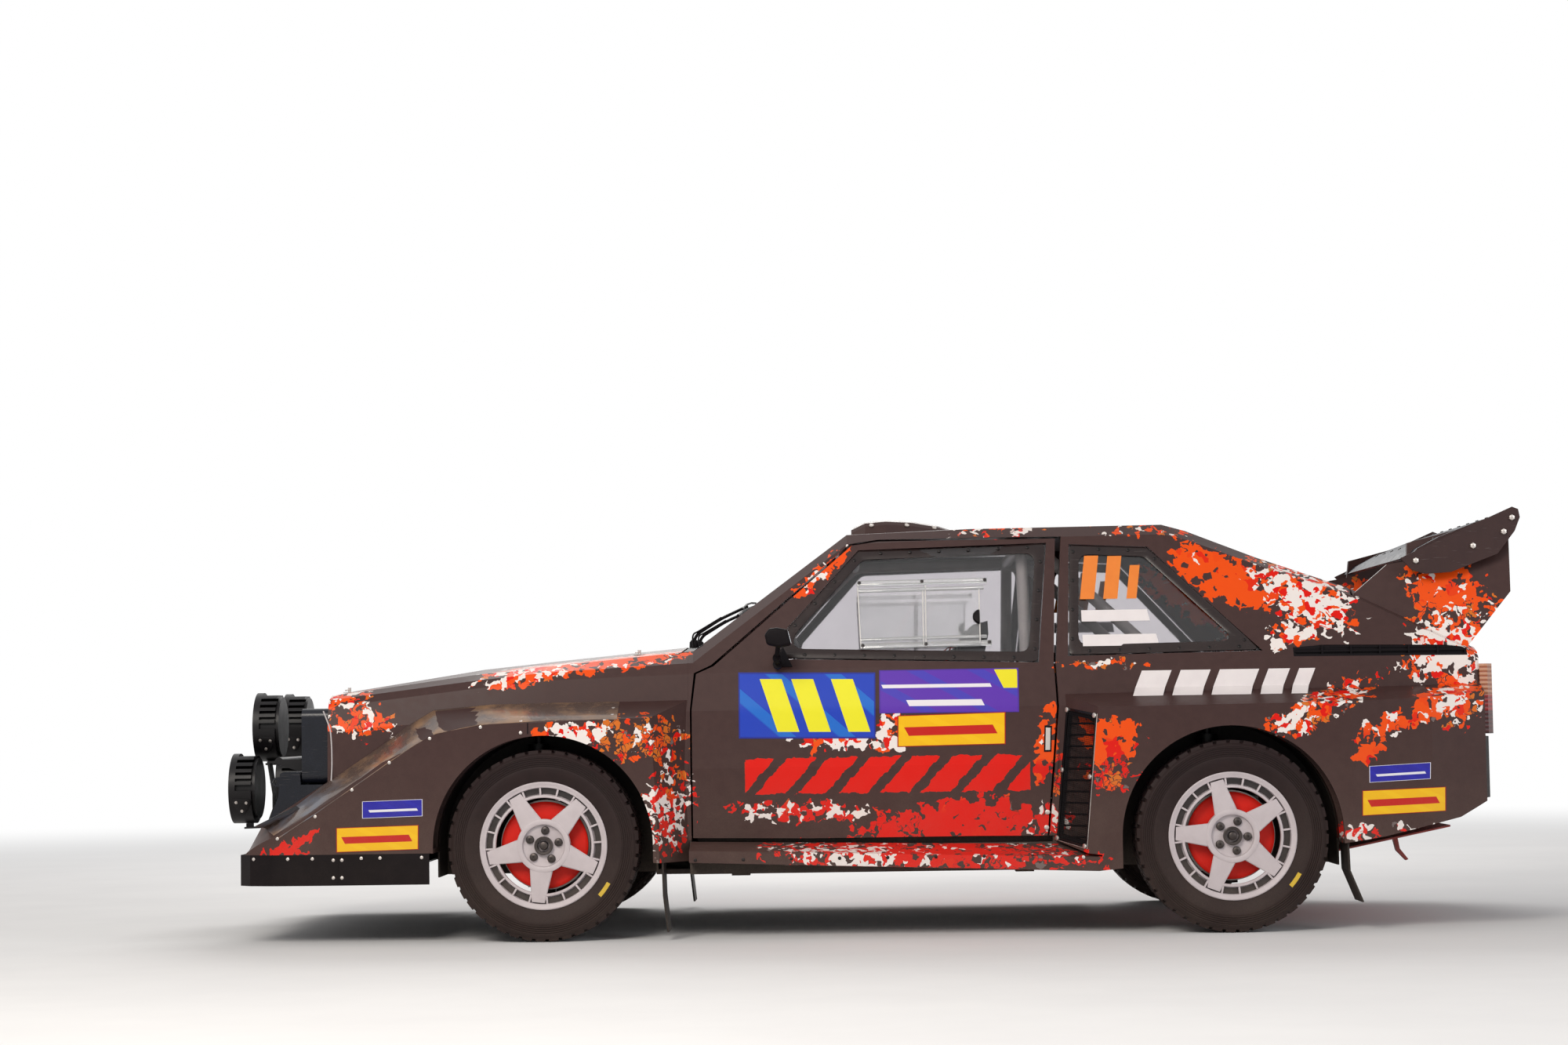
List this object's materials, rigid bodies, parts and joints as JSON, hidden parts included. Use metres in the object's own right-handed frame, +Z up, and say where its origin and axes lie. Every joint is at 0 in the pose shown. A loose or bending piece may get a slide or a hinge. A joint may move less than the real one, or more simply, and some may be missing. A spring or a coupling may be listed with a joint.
{
  "type": "rally coupe",
  "caption": "Short-wheelbase rally coupe with wide arches, opening doors, hood and boot lid, steered front wheels, high rear wing and round night lamps.",
  "frame": {"origin": "on the ground under the middle of the overall length and width", "axes": "+X towards the nose, +Y to the driver's left, +Z up"},
  "size_m": [4.31, 1.86, 1.3939],
  "materials": {
    "body_paint": "matte dark brown-grey wrap",
    "chassis_paint": "satin dark grey",
    "cage_paint": "satin light grey",
    "black_plastic": "matte black",
    "gloss_dark": "gloss blue-black",
    "wing_dark": "gloss black composite",
    "clear_glass": "clear",
    "lamp_glass": "clear lens",
    "lamp_body": "ribbed black",
    "tail_lens": "red lens",
    "flap_rubber": "soft black",
    "tyre": "worn black tread",
    "rim_alloy": "cast, dusty",
    "steel": "bare steel",
    "iron": "cast",
    "seat_fabric": "dark woven",
    "tray_paint": "satin red"
  },
  "bodies": {
    "car_body": {"floor_pan": "chassis_paint", "left_body_side": "body_paint", "right_body_side": "body_paint", "roof_panel": "body_paint", "left_fender": "body_paint", "right_fender": "body_paint", "nose_panel": "gloss_dark", "front_bumper": "gloss_dark", "splitter": "black_plastic", "sill_boards": "body_paint", "rear_bumper": "black_plastic", "undertray": "tray_paint", "dashboard": "black_plastic", "roll_cage": "cage_paint", "seats": "seat_fabric", "engine_block": "iron", "exhaust": "steel", "body_glass": "clear_glass", "headlamps": "lamp_glass", "lamp_pods": "lamp_body", "tail_lamps": "tail_lens", "mud_flaps": "flap_rubber", "suspension": "steel", "side_ducts": "black_plastic"},
    "hood": {"hood": "body_paint"},
    "boot_lid": {"boot_lid": "body_paint", "wing": "wing_dark"},
    "left_door": {"left_door": "body_paint", "left_door_window": "clear_glass", "left_mirror": "black_plastic"},
    "right_door": {"right_door": "body_paint", "right_door_window": "clear_glass", "right_mirror": "black_plastic"},
    "steering_wheel": {"steering_wheel": "black_plastic"},
    "steering_rack": {"steering_rack": "steel"},
    "left_knuckle": {"left_knuckle": "steel"},
    "right_knuckle": {"right_knuckle": "steel"},
    "left_front_wheel": {"left_front_tyre": "tyre", "left_front_wheel": "rim_alloy"},
    "right_front_wheel": {"right_front_tyre": "tyre", "right_front_wheel": "rim_alloy"},
    "left_rear_wheel": {"left_rear_tyre": "tyre", "left_rear_wheel": "rim_alloy"},
    "right_rear_wheel": {"right_rear_tyre": "tyre", "right_rear_wheel": "rim_alloy"}
  },
  "joints": [
    {"name": "left_steer", "type": "hinge", "parent": "car_body", "child": "left_knuckle", "pos_m": [1.06, 0.775, 0.31], "axis": [0, 0, 1], "range_deg": [-25, 25]},
    {"name": "right_steer", "type": "hinge", "parent": "car_body", "child": "right_knuckle", "pos_m": [1.06, -0.775, 0.31], "axis": [0, 0, 1], "range_deg": [-25, 25]},
    {"name": "steering_wheel_turn", "type": "hinge", "parent": "car_body", "child": "steering_wheel", "pos_m": [0.198, 0.36, 0.832], "axis": [-0.9285, 0, 0.3714], "range_deg": [-330, 330]},
    {"name": "rack_slide", "type": "slide", "parent": "car_body", "child": "steering_rack", "axis": [0, 1, 0], "range_m": [-0.036, 0.036]},
    {"name": "hood_hinge", "type": "hinge", "parent": "car_body", "child": "hood", "pos_m": [0.614, 0, 0.9575], "axis": [0, -1, 0], "range_deg": [0, 50]},
    {"name": "boot_hinge", "type": "hinge", "parent": "car_body", "child": "boot_lid", "pos_m": [-1.604, 0, 1.1204], "axis": [0, 1, 0], "range_deg": [0, 45]},
    {"name": "left_door_hinge", "type": "hinge", "parent": "car_body", "child": "left_door", "pos_m": [0.5815, 0.812, 0.6], "axis": [0, 0, -1], "range_deg": [0, 60]},
    {"name": "right_door_hinge", "type": "hinge", "parent": "car_body", "child": "right_door", "pos_m": [0.5815, -0.812, 0.6], "axis": [0, 0, 1], "range_deg": [0, 60]},
    {"name": "left_front_spin", "type": "hinge", "parent": "left_knuckle", "child": "left_front_wheel", "pos_m": [1.06, 0.812, 0.31], "axis": [0, 1, 0], "continuous": true},
    {"name": "right_front_spin", "type": "hinge", "parent": "right_knuckle", "child": "right_front_wheel", "pos_m": [1.06, -0.812, 0.31], "axis": [0, 1, 0], "continuous": true},
    {"name": "left_rear_spin", "type": "hinge", "parent": "car_body", "child": "left_rear_wheel", "pos_m": [-1.164, 0.812, 0.31], "axis": [0, 1, 0], "continuous": true},
    {"name": "right_rear_spin", "type": "hinge", "parent": "car_body", "child": "right_rear_wheel", "pos_m": [-1.164, -0.812, 0.31], "axis": [0, 1, 0], "continuous": true}
  ],
  "couplings": [
    {"joint": "right_steer", "follows": "left_steer", "ratio": 1},
    {"joint": "steering_wheel_turn", "follows": "left_steer", "ratio": 13},
    {"joint": "rack_slide", "follows": "left_steer", "m_per_rad": -0.08}
  ]
}
